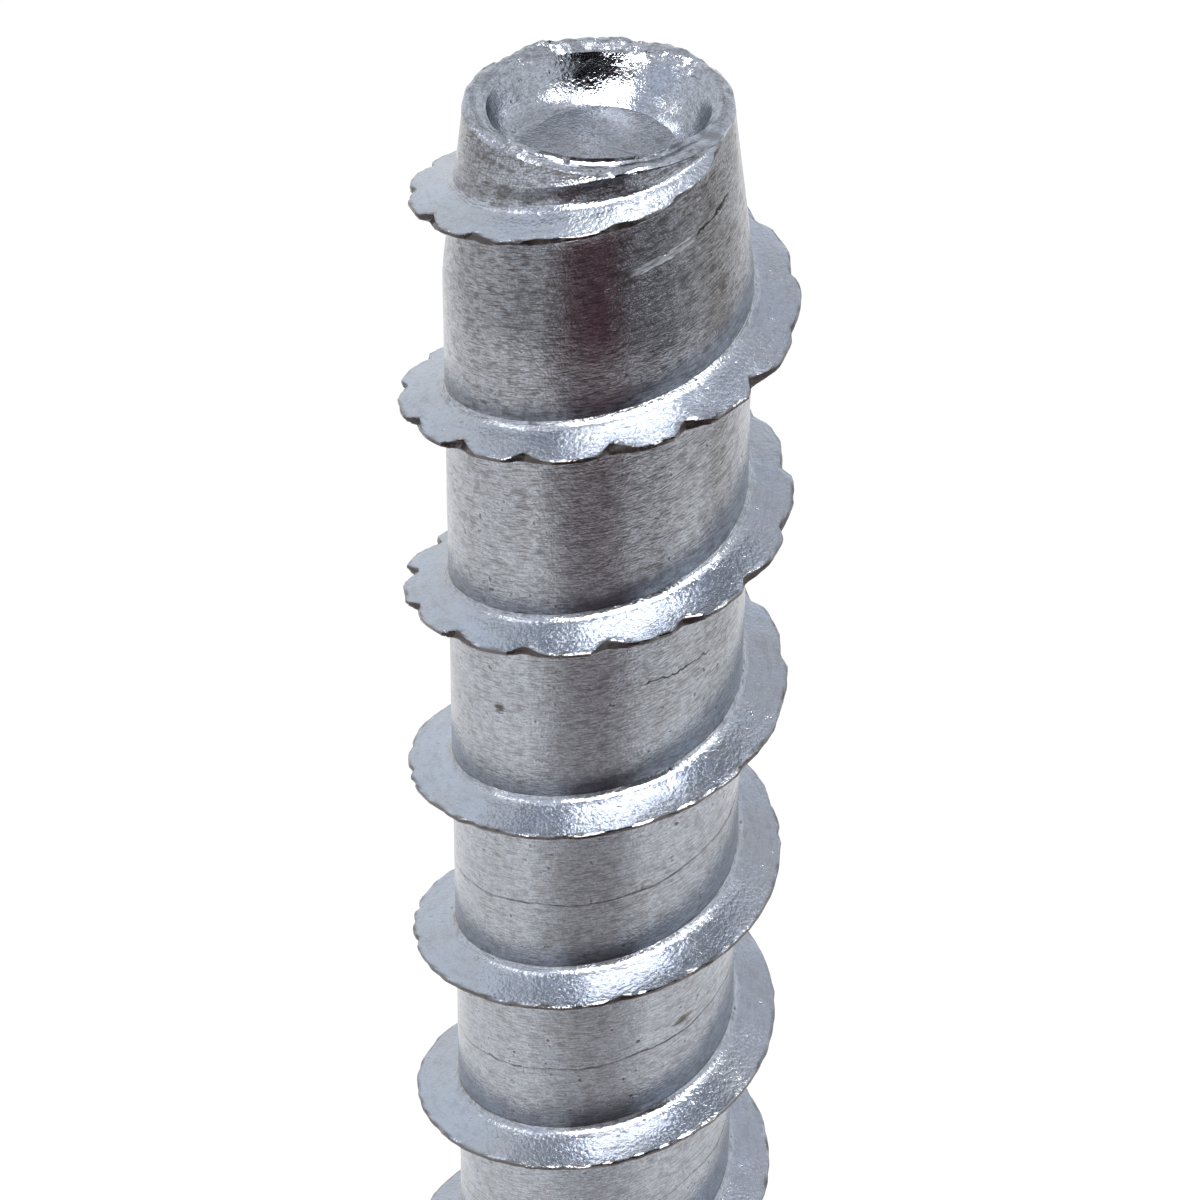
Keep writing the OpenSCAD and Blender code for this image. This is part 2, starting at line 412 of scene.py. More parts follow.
skin_radius = {round(turn_of(v.co) / STEP): v.co.xy.length for e in tip_ring for v in e.verts}
ring = tip_ring
for level, (plain_way, plain_depth) in enumerate(ROUND_LIP):
    def lip_point(turn):
        front_way, front_depth = front_lip(turn)[level]
        front, start = ramp(turn, FRONT), skin_radius[round(turn / STEP)]
        way = plain_way + front * (front_way - plain_way)
        depth = plain_depth + front * (front_depth - plain_depth)
        rough = ramp(abs(turn), [(90, LIP_ROUGH), (130, LIP_ROUGH_BACK)]) * uneven(turn, start, level * 0.3)
        return start + way * (RIDGE_R - start) + rough.x, TIP_Z - max(0, depth + rough.y)
    ring = extrude_ring(ring, TIP, lip_point)
for (side_r, side_depth), (back_r, back_depth) in zip(CUP_SIDE, CUP_BACK):
    def cup_point(turn):
        back = ramp(abs(turn), BACK)
        radius, depth = side_r + back * (back_r - side_r), side_depth + back * (back_depth - side_depth)
        radius -= ramp(depth, CUP_SKEW) * math.sin(math.radians(turn))
        rough = ramp(depth, [(1.3, WALL_ROUGH), (1.7, FLOOR_ROUGH)]) * uneven(turn, radius, depth)
        return radius + rough.x, TIP_Z - depth + rough.y
    ring = extrude_ring(ring, TIP, cup_point)
close_ring(ring, TIP, TIP_Z - CUP_DEPTH)
print("cup floor is", CUP_DEPTH, "mm under the tip")

# %% [markdown]
# ## Shank, flange and hexagon
# The head is forged: a hexagon for the wrench, and a flange that spreads the load. The shank's ring is
# extruded down through the fillet and round the flange. A ring becomes a hexagon when each point is moved
# to the flat in its direction; the steps of the spin were chosen so that six of them are its corners.

# %% extrude the head
HEAD_H = 11
HEAD_FILLET = 1.9
FLANGE_EDGE = 1.6
FLANGE_ROUND = 0.5
FLANGE_ANGLE = 24
FLANGE_SLOPE = math.tan(math.radians(FLANGE_ANGLE))
HEX_FLAT = 8.5
HEX_END_R = 8.0
HEX_CHAMFER = math.tan(math.radians(30))
CORNER_R = 9.72
EDGE_SOFT = 0.12
# Rows of points on the plain shank, one on the bearing face, and some on the hexagon's end face.
SHANK_ROWS, BEARING_ROW, END_ROWS = (24.0, 18.0), 9.4, (5.0, 2.0, 0.6)


def hex_radius(turn):
    """Radius of the hexagon in a direction, its corners a little blunt."""
    return min(CORNER_R, HEX_FLAT / math.cos(math.radians((turn - 90) % 60 - 30)))


def flange_z(radius):
    """Height of the flange's sloped side at a radius."""
    return HEAD_H - FLANGE_EDGE - (FLANGE_R - radius) * FLANGE_SLOPE


def chamfer_z(radius):
    """Height of the hexagon's end chamfer at a radius."""
    return max(0, radius - HEX_END_R) * HEX_CHAMFER


def arc(centre_r, centre_z, radius, start, end, steps):
    """Points of an arc in the turned outline, as (radius, height)."""
    angles = [math.radians(start + (end - start) * i / steps) for i in range(steps + 1)]
    return [(centre_r + radius * math.cos(a), centre_z + radius * math.sin(a)) for a in angles]


flange_rim = FLANGE_R - FLANGE_ROUND
turned_outline = [(SHANK_R, row) for row in SHANK_ROWS]
turned_outline += arc(SHANK_R + HEAD_FILLET, HEAD_H + HEAD_FILLET, HEAD_FILLET, 180, 270, 7)
turned_outline += [(BEARING_ROW, HEAD_H)]
turned_outline += arc(flange_rim, HEAD_H - FLANGE_ROUND, FLANGE_ROUND, 90, 0, 5)
turned_outline += arc(flange_rim, HEAD_H - FLANGE_EDGE + FLANGE_ROUND, FLANGE_ROUND, 0, FLANGE_ANGLE - 90, 4)
ring = shank_ring
for radius, height in turned_outline:
    ring = extrude_ring(ring, HEAD, lambda turn: (radius, height))
# The hexagon's rows, from the flange to the end face, each from the hexagon's radius in a direction.
hex_steps = [
    lambda r: (r + 0.35, flange_z(r + 0.35)), lambda r: (r + 0.08, flange_z(r) - 0.05),
    lambda r: (r, flange_z(r) - 0.3), lambda r: (r, chamfer_z(r) + EDGE_SOFT),
    lambda r: (r - 0.4 * EDGE_SOFT, chamfer_z(r) + 0.2 * EDGE_SOFT),
    lambda r: (r - 1.2 * EDGE_SOFT, chamfer_z(r - 1.2 * EDGE_SOFT)),
    lambda r: (HEX_END_R + EDGE_SOFT, chamfer_z(HEX_END_R + EDGE_SOFT)),
    lambda r: (HEX_END_R - EDGE_SOFT, 0),
]
for step in hex_steps:
    ring = extrude_ring(ring, HEAD, lambda turn: step(hex_radius(turn)))
for row in END_ROWS:
    ring = extrude_ring(ring, HEAD, lambda turn: (row, 0))
close_ring(ring, HEAD, 0)
bmesh.ops.recalc_face_normals(bm, faces=bm.faces)
loose = [e for e in bm.edges if len(e.link_faces) != 2]
print("closed skin:", len(bm.faces), "faces,", len(loose), "open edges")

# %% [markdown]
# ## A map for the finish
# The rolling marks follow the thread, so the finish needs to know, at each point, how far along the thread
# and how far across it that point lies. A UV map in millimetres says so. Each face is first given its own
# turn, so that no face spans the place where one turn ends and the next begins.

# %% lay the map and make the piece
MEAN_R = 6.2
TOP_ACROSS = CORE_ABOVE[-1]
roll_map = bm.loops.layers.uv.new("rolling")
for face in bm.faces:
    middle = face.calc_center_median()
    turn = turn_of(middle)
    turned = START_TURN - turn
    while middle.z - thread_z(turned) < TOP_ACROSS - PITCH:
        turned += 360
    while middle.z - thread_z(turned) > TOP_ACROSS:
        turned -= 360
    zone = face[zone_layer]
    for loop in face.loops:
        co = loop.vert.co
        near = (turn - turn_of(co) + 180) % 360 - 180 if co.xy.length > 1e-4 else 0
        if zone == ROLLED:
            along = (turned + near) * math.radians(MEAN_R)
            over = ramp(co.z - thread_z(turned + near), ALONG_OUTLINE)
        else:
            along = (-turn + near) * math.radians(MEAN_R)
            over = co.z + co.xy.length if zone == TIP else co.xy.length - co.z
        loop[roll_map].uv = (along, over)

SHARP = math.radians(30)
for edge in bm.edges:
    edge.smooth = edge.calc_face_angle(0) < SHARP
for face in bm.faces:
    face.smooth = True
bmesh.ops.scale(bm, vec=(MM, MM, MM), verts=bm.verts)
mesh = bpy.data.meshes.new("screw_anchor_body")
bm.to_mesh(mesh)
bm.free()
anchor = bpy.data.objects.new("screw_anchor_body", mesh)
bpy.context.collection.objects.link(anchor)
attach(anchor, "root")
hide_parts("screw_anchor")
print("piece:", len(mesh.polygons), "faces")

# %% [markdown]
# ## Zinc-plated rolled steel
# The finish is a thin bluish zinc coat on rolled steel. It is a metal, so the colour is in its reflections,
# and what the eye reads as worn grey is a fine grain: streaks along the rolling direction, small pits and
# specks, dull patches, a dark lap line where the rolled metal folded, and bare brownish steel on the
# crests. One material on the piece's rolling map and its Object coordinates carries all of these.

# %% helpers for the finish
def colour(text):
    """Linear colour from an sRGB hex value."""
    parts = [int(text[i:i + 2], 16) / 255 for i in (1, 3, 5)]
    return tuple(p / 12.92 if p <= 0.04045 else ((p + 0.055) / 1.055) ** 2.4 for p in parts) + (1,)


def node(tree, kind, settings, inputs):
    """Adds a node with its settings, and sets or links its inputs."""
    made = tree.nodes.new(kind)
    for name, value in settings.items():
        setattr(made, name, value)
    for name, value in inputs.items():
        if isinstance(value, bpy.types.NodeSocket):
            tree.links.new(value, made.inputs[name])
        else:
            made.inputs[name].default_value = value
    return made


print("middle grey in linear light:", round(colour("#808080")[0], 3))

# %% the patterns of the zinc coat
zinc = bpy.data.materials.new("zinc_plated_rolled_steel")
zinc.use_nodes = True
tree = zinc.node_tree
tree.nodes.clear()

# The coat's own grain is finer than this; it is drawn about two pixels of the render wide, so that it
# shows.
GRAIN_MM = 0.09
PEBBLE_MM, SPECK_MM, PATCH_MM = 0.17, 0.42, 2.2
STREAK_LONG_MM, STREAK_WIDE_MM = 0.6, 0.06
MARK_LONG_MM, MARK_WIDE_MM = 7.0, 0.16
SCUFF_LONG_MM, SCUFF_WIDE_MM = 0.7, 0.07
DIRT_LONG_MM, DIRT_WIDE_MM = 1.4, 0.26
SCUFF_SLANT = math.radians(-38)
# Distances under the tip between which the core's scuffing grows to its full share.
SCUFF_FROM, SCUFF_FULL = 28, 6

place = node(tree, "ShaderNodeTexCoord", {}, {}).outputs["Object"]
rolling = node(tree, "ShaderNodeUVMap", {"uv_map": "rolling"}, {}).outputs["UV"]
grain = node(tree, "ShaderNodeTexNoise", {}, {
    "Vector": place, "Scale": 1 / (GRAIN_MM * MM), "Detail": 2, "Roughness": 0.6}).outputs["Fac"]
pebble = node(tree, "ShaderNodeTexVoronoi", {}, {
    "Vector": place, "Scale": 1 / (PEBBLE_MM * MM)}).outputs["Distance"]
spots = node(tree, "ShaderNodeTexNoise", {}, {
    "Vector": place, "Scale": 1 / (SPECK_MM * MM), "Detail": 3, "Roughness": 0.6}).outputs["Fac"]
specks = node(tree, "ShaderNodeMapRange", {}, {
    "Value": spots, "From Min": 0.66, "From Max": 0.74}).outputs[0]
patches = node(tree, "ShaderNodeTexNoise", {}, {
    "Vector": place, "Scale": 1 / (PATCH_MM * MM), "Detail": 4, "Roughness": 0.55}).outputs["Fac"]
streak_place = node(tree, "ShaderNodeVectorMath", {"operation": "MULTIPLY"}, {
    0: rolling, 1: (1 / STREAK_LONG_MM, 1 / STREAK_WIDE_MM, 1)}).outputs[0]
streaks = node(tree, "ShaderNodeTexNoise", {"noise_dimensions": "2D"}, {
    "Vector": streak_place, "Scale": 1, "Detail": 2, "Roughness": 0.6}).outputs["Fac"]
mark_place = node(tree, "ShaderNodeVectorMath", {"operation": "MULTIPLY"}, {
    0: rolling, 1: (1 / MARK_LONG_MM, 1 / MARK_WIDE_MM, 1)}).outputs[0]
marks = node(tree, "ShaderNodeTexNoise", {"noise_dimensions": "2D"}, {
    "Vector": mark_place, "Scale": 1, "Detail": 1, "Roughness": 0.5}).outputs["Fac"]
mark_lines = node(tree, "ShaderNodeMapRange", {}, {
    "Value": marks, "From Min": 0.8, "From Max": 0.88}).outputs[0]
rolled = node(tree, "ShaderNodeAttribute", {"attribute_name": "rolled"}, {}).outputs["Fac"]
# The core slid under the dies and carries streaks; the blade's sides are cleaner.
rise = node(tree, "ShaderNodeAttribute", {"attribute_name": "rise"}, {}).outputs["Fac"]
low = node(tree, "ShaderNodeMapRange", {}, {
    "Value": rise, "From Min": 0.02, "From Max": 0.3, "To Min": 1, "To Max": 0}).outputs[0]
core = node(tree, "ShaderNodeMath", {"operation": "MULTIPLY"}, {0: low, 1: rolled}).outputs[0]
# The first turns drag through the dies longest, and their core is the most scuffed.
height = node(tree, "ShaderNodeSeparateXYZ", {}, {0: place}).outputs["Z"]
tipward = node(tree, "ShaderNodeMapRange", {}, {
    "Value": height, "From Min": (TIP_Z - SCUFF_FROM) * MM, "From Max": (TIP_Z - SCUFF_FULL) * MM,
    "To Min": 0.6}).outputs[0]
scuffed = node(tree, "ShaderNodeMath", {"operation": "MULTIPLY"}, {0: tipward, 1: core}).outputs[0]
# The cup and the head were pressed, not rolled, and are smoother.
grain_share = node(tree, "ShaderNodeMapRange", {}, {"Value": rolled, "To Min": 0.35}).outputs[0]
# Scuffs from handling cross the rolling streaks at a slant.
scuff_place = node(tree, "ShaderNodeVectorRotate", {"rotation_type": "Z_AXIS"}, {
    "Vector": rolling, "Angle": SCUFF_SLANT}).outputs[0]
scuff_place = node(tree, "ShaderNodeVectorMath", {"operation": "MULTIPLY"}, {
    0: scuff_place, 1: (1 / SCUFF_LONG_MM, 1 / SCUFF_WIDE_MM, 1)}).outputs[0]
scuffs = node(tree, "ShaderNodeTexNoise", {"noise_dimensions": "2D"}, {
    "Vector": scuff_place, "Scale": 1, "Detail": 2, "Roughness": 0.6}).outputs["Fac"]
dirt_place = node(tree, "ShaderNodeVectorMath", {"operation": "MULTIPLY"}, {
    0: rolling, 1: (1 / DIRT_LONG_MM, 1 / DIRT_WIDE_MM, 1)}).outputs[0]
dirt = node(tree, "ShaderNodeTexNoise", {"noise_dimensions": "2D"}, {
    "Vector": dirt_place, "Scale": 1, "Detail": 5, "Roughness": 0.7}).outputs["Fac"]
mottle = node(tree, "ShaderNodeMix", {"data_type": "FLOAT"}, {0: 0.45, 2: dirt, 3: spots}).outputs[0]
# The core is polished by the dies, so its pebbles are low and its grain fades away from the tip.
pebble_share = node(tree, "ShaderNodeMapRange", {}, {
    "Value": core, "To Min": grain_share, "To Max": 0.35}).outputs[0]
grain_share = node(tree, "ShaderNodeMapRange", {}, {
    "Value": core, "To Min": grain_share, "To Max": tipward}).outputs[0]
core_scuffs = node(tree, "ShaderNodeMath", {"operation": "MULTIPLY"}, {0: scuffs, 1: scuffed}).outputs[0]
core_streaks = node(tree, "ShaderNodeMath", {"operation": "MULTIPLY"}, {0: streaks, 1: scuffed}).outputs[0]
core_marks = node(tree, "ShaderNodeMath", {"operation": "MULTIPLY"}, {0: mark_lines, 1: core}).outputs[0]
print("patterns:", len(tree.nodes), "nodes")

# %% cracks, smudges, worn crest and cut teeth
split = node(tree, "ShaderNodeSeparateXYZ", {}, {0: rolling}).outputs


def crack(start, end, half_mm, wobble, wobble_mm, fade_mm):
    """A thin line on the core between two places, each an angle turned and a distance across the thread."""
    (along_0, over_0), (along_1, over_1) = (
        (math.radians(turned) * MEAN_R, ramp(across, ALONG_OUTLINE)) for turned, across in (start, end))
    slope = (over_1 - over_0) / (along_1 - along_0)
    level = node(tree, "ShaderNodeMath", {"operation": "MULTIPLY_ADD"}, {
        0: split["X"], 1: -slope, 2: slope * along_0 - over_0 - 0.5 * wobble_mm}).outputs[0]
    off = node(tree, "ShaderNodeMath", {"operation": "ADD"}, {0: split["Y"], 1: level}).outputs[0]
    off = node(tree, "ShaderNodeMath", {"operation": "MULTIPLY_ADD"}, {
        0: wobble, 1: wobble_mm, 2: off}).outputs[0]
    gap = node(tree, "ShaderNodeMath", {"operation": "ABSOLUTE"}, {0: off}).outputs[0]
    mask = node(tree, "ShaderNodeMapRange", {}, {
        "Value": gap, "From Min": half_mm, "From Max": 0.3 * half_mm}).outputs[0]
    for edge, inside in ((along_0, fade_mm), (along_1, -fade_mm)):
        past = node(tree, "ShaderNodeMapRange", {}, {
            "Value": split["X"], "From Min": edge, "From Max": edge + inside}).outputs[0]
        mask = node(tree, "ShaderNodeMath", {"operation": "MULTIPLY"}, {0: mask, 1: past}).outputs[0]
    return mask


def smudge(turned, across, long_mm, wide_mm):
    """A soft dirty spot on the core, with an uneven edge."""
    middle = (math.radians(turned) * MEAN_R, ramp(across, ALONG_OUTLINE), 0)
    off = node(tree, "ShaderNodeVectorMath", {"operation": "SUBTRACT"}, {0: rolling, 1: middle}).outputs[0]
    off = node(tree, "ShaderNodeVectorMath", {"operation": "DIVIDE"}, {
        0: off, 1: (long_mm, wide_mm, 1)}).outputs[0]
    far = node(tree, "ShaderNodeVectorMath", {"operation": "LENGTH"}, {0: off}).outputs["Value"]
    far = node(tree, "ShaderNodeMath", {"operation": "MULTIPLY_ADD"}, {0: streaks, 1: 1.6, 2: far}).outputs[0]
    return node(tree, "ShaderNodeMapRange", {}, {"Value": far, "From Min": 1.8, "From Max": 1.2}).outputs[0]


# The fold that rolling leaves runs on for many turns, broken here and there; the other lines are short.
lap = crack((770, -4.6), (RUN_OUT_START, -4.7), 0.06, patches, 0.6, 30)
scratch = crack((15, -2.35), (47, -2.5), 0.15, spots, 0.2, 0.6)
tip_crack = crack((-8, -2.1), (17, -2.4), 0.1, spots, 0.5, 0.3)
low_crack = crack((727, -3.6), (761, -3.3), 0.05, spots, 0.5, 0.4)
broken = node(tree, "ShaderNodeMapRange", {}, {
    "Value": dirt, "From Min": 0.4, "From Max": 0.6, "To Min": 0.25, "To Max": 0.8}).outputs[0]
lap = node(tree, "ShaderNodeMath", {"operation": "MULTIPLY"}, {0: lap, 1: broken}).outputs[0]
dark_lines = node(tree, "ShaderNodeMath", {"operation": "MAXIMUM"}, {0: tip_crack, 1: low_crack}).outputs[0]
dark_lines = node(tree, "ShaderNodeMath", {"operation": "MAXIMUM"}, {0: dark_lines, 1: lap}).outputs[0]
smudges = node(tree, "ShaderNodeMath", {"operation": "ADD", "use_clamp": True}, {
    0: smudge(817, -3.85, 0.34, 0.26), 1: smudge(1459, -4.07, 0.6, 0.22)}).outputs[0]
worn = node(tree, "ShaderNodeAttribute", {"attribute_name": "crest_wear"}, {}).outputs["Fac"]
cut = node(tree, "ShaderNodeAttribute", {"attribute_name": "tooth_cut"}, {}).outputs["Fac"]
print("cracks and smudges:", len(tree.nodes), "nodes")

# %% colour, gloss and bump
patch_mix = node(tree, "ShaderNodeMapRange", {}, {
    "Value": patches, "From Min": 0.35, "From Max": 0.65}).outputs[0]
coat = node(tree, "ShaderNodeMix", {"data_type": "RGBA"}, {
    0: patch_mix, 6: colour("#B4BBC7"), 7: colour("#B1B5BB")}).outputs[2]
coat = node(tree, "ShaderNodeMix", {"data_type": "RGBA"}, {
    0: scuffed, 6: coat, 7: colour("#BDC1C8")}).outputs[2]
# Close under the lip the grain's dark flecks are strongest on the core: painted shade under the lip.
shade_under_lip = node(tree, "ShaderNodeMapRange", {}, {
    "Value": height, "From Min": (TIP_Z - 2.6) * MM, "From Max": (TIP_Z - 1) * MM,
    "To Min": 0.4, "To Max": 0.9}).outputs[0]
grain_and_shade_most = node(tree, "ShaderNodeMapRange", {}, {
    "Value": core, "To Min": 0.15, "To Max": shade_under_lip}).outputs[0]
# The grain's dark flecks, with the painted shade under the lip on top of them.
grain_and_shade_dark = node(tree, "ShaderNodeMapRange", {}, {
    "Value": grain, "From Min": 0.3, "From Max": 0.6, "To Min": grain_and_shade_most, "To Max": 0}).outputs[0]
grained_and_shaded = node(tree, "ShaderNodeMix", {"data_type": "RGBA"}, {
    0: grain_and_shade_dark, 6: coat, 7: colour("#6E6D72")}).outputs[2]
streak_most = node(tree, "ShaderNodeMapRange", {}, {
    "Value": patches, "From Min": 0.35, "From Max": 0.65, "To Min": 0.5}).outputs[0]
streak_here = node(tree, "ShaderNodeMath", {"operation": "MULTIPLY"}, {0: streak_most, 1: scuffed}).outputs[0]
streak_dark = node(tree, "ShaderNodeMapRange", {}, {
    "Value": streaks, "From Min": 0.32, "From Max": 0.52, "To Min": streak_here, "To Max": 0}).outputs[0]
streaked = node(tree, "ShaderNodeMix", {"data_type": "RGBA"}, {
    0: streak_dark, 6: grained_and_shaded, 7: colour("#686461")}).outputs[2]
# Shallow dark hollows, drawn out along the rolling direction, mottle the core and faintly the blade.
hollow_core = node(tree, "ShaderNodeMath", {"operation": "MULTIPLY"}, {0: tipward, 1: 0.75}).outputs[0]
hollow_most = node(tree, "ShaderNodeMapRange", {}, {
    "Value": core, "To Min": 0.2, "To Max": hollow_core}).outputs[0]
hollows = node(tree, "ShaderNodeMapRange", {}, {
    "Value": mottle, "From Min": 0.36, "From Max": 0.52, "To Min": hollow_most, "To Max": 0}).outputs[0]
streaked = node(tree, "ShaderNodeMix", {"data_type": "RGBA"}, {
    0: hollows, 6: streaked, 7: colour("#5F5B5A")}).outputs[2]
dirt_most = node(tree, "ShaderNodeMath", {"operation": "MULTIPLY"}, {0: core, 1: 0.45}).outputs[0]
dirt_dark = node(tree, "ShaderNodeMapRange", {}, {
    "Value": dirt, "From Min": 0.52, "From Max": 0.72, "To Min": 0, "To Max": dirt_most}).outputs[0]
dirtied = node(tree, "ShaderNodeMix", {"data_type": "RGBA"}, {
    0: dirt_dark, 6: streaked, 7: colour("#716D6A")}).outputs[2]
speck_share = node(tree, "ShaderNodeMapRange", {}, {"Value": core, "To Min": 0.35}).outputs[0]
speck_here = node(tree, "ShaderNodeMath", {"operation": "MULTIPLY"}, {0: specks, 1: speck_share}).outputs[0]
specked = node(tree, "ShaderNodeMix", {"data_type": "RGBA"}, {
    0: speck_here, 6: dirtied, 7: colour("#635F5E")}).outputs[2]
smudged = node(tree, "ShaderNodeMix", {"data_type": "RGBA"}, {
    0: smudges, 6: specked, 7: colour("#5E5753")}).outputs[2]
lapped = node(tree, "ShaderNodeMix", {"data_type": "RGBA"}, {
    0: dark_lines, 6: smudged, 7: colour("#3E3A3B")}).outputs[2]
crested = node(tree, "ShaderNodeMix", {"data_type": "RGBA"}, {
    0: worn, 6: lapped, 7: colour("#6A6563")}).outputs[2]
toothed = node(tree, "ShaderNodeMix", {"data_type": "RGBA"}, {
    0: cut, 6: crested, 7: colour("#605A58")}).outputs[2]
# Clean zinc is shiny and the scuffed core duller; the pressed cup and head are the smoothest.
gloss = node(tree, "ShaderNodeMapRange", {}, {
    "Value": patches, "From Min": 0.3, "From Max": 0.7, "To Min": 0.1, "To Max": 0.19}).outputs[0]
gloss = node(tree, "ShaderNodeMath", {"operation": "MULTIPLY_ADD"}, {0: core, 1: 0.08, 2: gloss}).outputs[0]
pressed = node(tree, "ShaderNodeMapRange", {}, {
    "Value": rolled, "From Min": 0.5, "To Min": 0.6}).outputs[0]
gloss = node(tree, "ShaderNodeMath", {"operation": "MULTIPLY"}, {0: gloss, 1: pressed}).outputs[0]
gloss = node(tree, "ShaderNodeMix", {"data_type": "FLOAT"}, {0: cut, 2: gloss, 3: 0.3}).outputs[0]
gloss = node(tree, "ShaderNodeMix", {"data_type": "FLOAT"}, {0: scratch, 2: gloss, 3: 0.5}).outputs[0]

# Each bump's distance is the real depth of its pattern in metres.
GRAIN_DEEP, PEBBLE_DEEP, STREAK_DEEP, SCUFF_DEEP, MARK_DEEP, PIT_DEEP, LAP_DEEP, SCRATCH_DEEP = (
    deep * MM for deep in (0.014, 0.012, 0.005, 0.0025, 0.007, 0.012, 0.012, 0.035))
bump = node(tree, "ShaderNodeBump", {}, {
    "Height": grain, "Distance": GRAIN_DEEP, "Strength": grain_share}).outputs[0]
for pattern, deep, share, invert in (
        (pebble, PEBBLE_DEEP, pebble_share, True), (core_streaks, STREAK_DEEP, 1, False),
        (core_scuffs, SCUFF_DEEP, 1, False), (core_marks, MARK_DEEP, 1, True), (specks, PIT_DEEP, 1, True),
        (dark_lines, LAP_DEEP, 1, True), (scratch, SCRATCH_DEEP, 1, False)):
    bump = node(tree, "ShaderNodeBump", {"invert": invert}, {
        "Height": pattern, "Distance": deep, "Strength": share, "Normal": bump}).outputs[0]
shader = node(tree, "ShaderNodeBsdfPrincipled", {}, {
    "Base Color": toothed, "Metallic": 1.0, "Roughness": gloss, "Normal": bump})
node(tree, "ShaderNodeOutputMaterial", {}, {"Surface": shader.outputs[0]})
anchor.data.materials.append(zinc)
print("zinc coat:", len(tree.nodes), "nodes")

# %% [markdown]
# ## Floor, light and camera
# A metal shows what stands round it, so the stage matters as much as the finish. The floor is white to the
# camera and in reflections. Five soft lamps stand high all round the screw and light the tops of the turns
# and the cup. Cards that only reflections see stand for the rest of a room: the dim side in front, the
# table beyond the white paper, and walls that are a little less bright than the sky.

# %% the floor and the world
FLOOR_SIZE = 3.0
# Share of the floor's own glow in its white, so that it still takes the object's shadow.
FLOOR_GLOW = 0.8
# Strength of the world to the eye and in reflections, and as light on the floor.
SKY_LEVEL, SKY_LIGHT = 1.05, 0.6
floor_mesh = bpy.data.meshes.new("floor")
fm = bmesh.new()
bmesh.ops.create_grid(fm, x_segments=1, y_segments=1, size=FLOOR_SIZE / 2)
fm.to_mesh(floor_mesh)
fm.free()
floor = bpy.data.objects.new("floor", floor_mesh)
bpy.context.collection.objects.link(floor)

paper = bpy.data.materials.new("white_paper_floor")
paper.use_nodes = True
tree = paper.node_tree
tree.nodes.clear()
rays = node(tree, "ShaderNodeLightPath", {}, {})
seen = node(tree, "ShaderNodeMath", {"operation": "ADD", "use_clamp": True}, {
    0: rays.outputs["Is Camera Ray"], 1: rays.outputs["Is Glossy Ray"]}).outputs[0]
seen = node(tree, "ShaderNodeMath", {"operation": "ADD", "use_clamp": True}, {
    0: seen, 1: rays.outputs["Is Transmission Ray"]}).outputs[0]
glow_share = node(tree, "ShaderNodeMath", {"operation": "MULTIPLY"}, {0: seen, 1: FLOOR_GLOW}).outputs[0]
matt = node(tree, "ShaderNodeBsdfDiffuse", {}, {"Color": colour("#F4F4F4")}).outputs[0]
glow = node(tree, "ShaderNodeEmission", {}, {"Color": (1, 1, 1, 1), "Strength": 1.0}).outputs[0]
both = node(tree, "ShaderNodeMixShader", {}, {0: glow_share, 1: matt, 2: glow}).outputs[0]
node(tree, "ShaderNodeOutputMaterial", {}, {"Surface": both})
floor_mesh.materials.append(paper)

world = bpy.data.worlds.new("studio")
bpy.context.scene.world = world
world.use_nodes = True
tree = world.node_tree
tree.nodes.clear()
direction = node(tree, "ShaderNodeTexCoord", {}, {}).outputs["Generated"]
upward = node(tree, "ShaderNodeSeparateXYZ", {}, {0: direction}).outputs["Z"]
zenith = node(tree, "ShaderNodeMapRange", {}, {"Value": upward, "From Min": 0.3, "From Max": 0.8}).outputs[0]
sky = node(tree, "ShaderNodeMix", {"data_type": "RGBA"}, {
    0: zenith, 6: colour("#F4F9FF"), 7: colour("#EEF2F8")}).outputs[2]
sky_rays = node(tree, "ShaderNodeLightPath", {}, {})
backdrop = node(tree, "ShaderNodeMix", {"data_type": "RGBA"}, {
    0: sky_rays.outputs["Is Camera Ray"], 6: sky, 7: (1, 1, 1, 1)}).outputs[2]
level = node(tree, "ShaderNodeMapRange", {}, {
    "Value": sky_rays.outputs["Is Diffuse Ray"], "To Min": SKY_LEVEL, "To Max": SKY_LIGHT}).outputs[0]
air = node(tree, "ShaderNodeBackground", {}, {"Color": backdrop, "Strength": level}).outputs[0]
node(tree, "ShaderNodeOutputWorld", {}, {"Surface": air})
print("floor", FLOOR_SIZE, "m wide")

# %% helpers for the lamps and the cards
TOP = Vector((0, 0, TIP_Z * MM))


def towards(side, height, away):
    """Point as seen from the tip: angle from the front, height above the level, and distance."""
    side, height = math.radians(side), math.radians(height)
    flat = math.cos(height)
    return TOP + away * Vector((flat * math.sin(side), -flat * math.cos(side), math.sin(height)))


def add_lamp(name, spot, size, radiance):
    """A rectangular lamp of an even brightness, aimed at the tip."""
    data = bpy.data.lights.new(name, "AREA")
    data.shape = "RECTANGLE"
    data.size, data.size_y = size
    # An area lamp's brightness is its power over four times its area.
    data.energy = radiance * 4 * size[0] * size[1]
    lamp = bpy.data.objects.new(name, data)
    lamp.location = spot
    lamp.rotation_euler = (lamp.location - TOP).to_track_quat("Z", "Y").to_euler()
    bpy.context.collection.objects.link(lamp)


